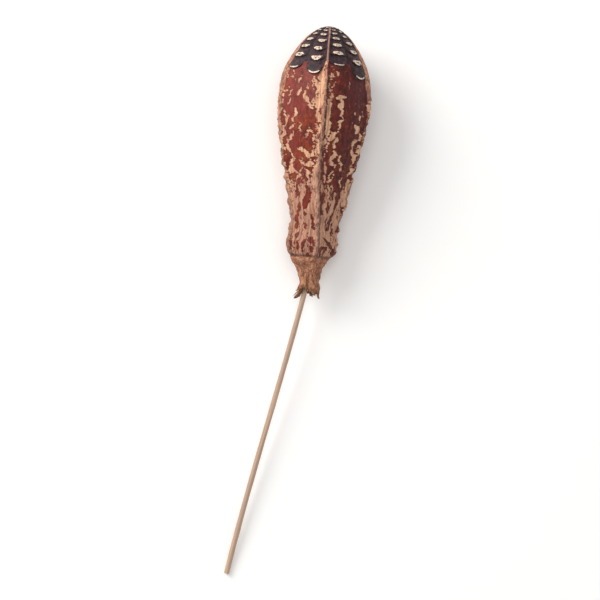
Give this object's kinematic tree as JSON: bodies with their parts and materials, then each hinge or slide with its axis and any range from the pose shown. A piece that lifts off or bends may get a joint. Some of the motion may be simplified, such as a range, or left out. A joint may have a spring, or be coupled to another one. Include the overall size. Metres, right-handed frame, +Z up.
{
  "type": "dried mahogany seed pod",
  "caption": "Ribbed woody pod core with a crown of overlapping seed scales, on a thin wooden stick pushed into its hollow neck; lies on a flat surface.",
  "frame": {"origin": "middle of the piece's box in plan, on the surface that it lies on", "axes": "+Y towards the tip of the pod, with the stick running off towards -Y; +Z up, with one of the five ribs on top; +X to the right when it is seen from above with the tip away"},
  "size_m": [0.0484, 0.2426, 0.0398],
  "materials": {
    "pod": "dry woody core: a satin mahogany-red film flaked away in pale tan streaks, with a near-black crown of scales that carry cream seed scars",
    "stick": "bare dull grey-tan wooden stick with fine grain along it"
  },
  "bodies": {
    "root": {"pod": "pod", "stick": "stick"}
  },
  "joints": []
}
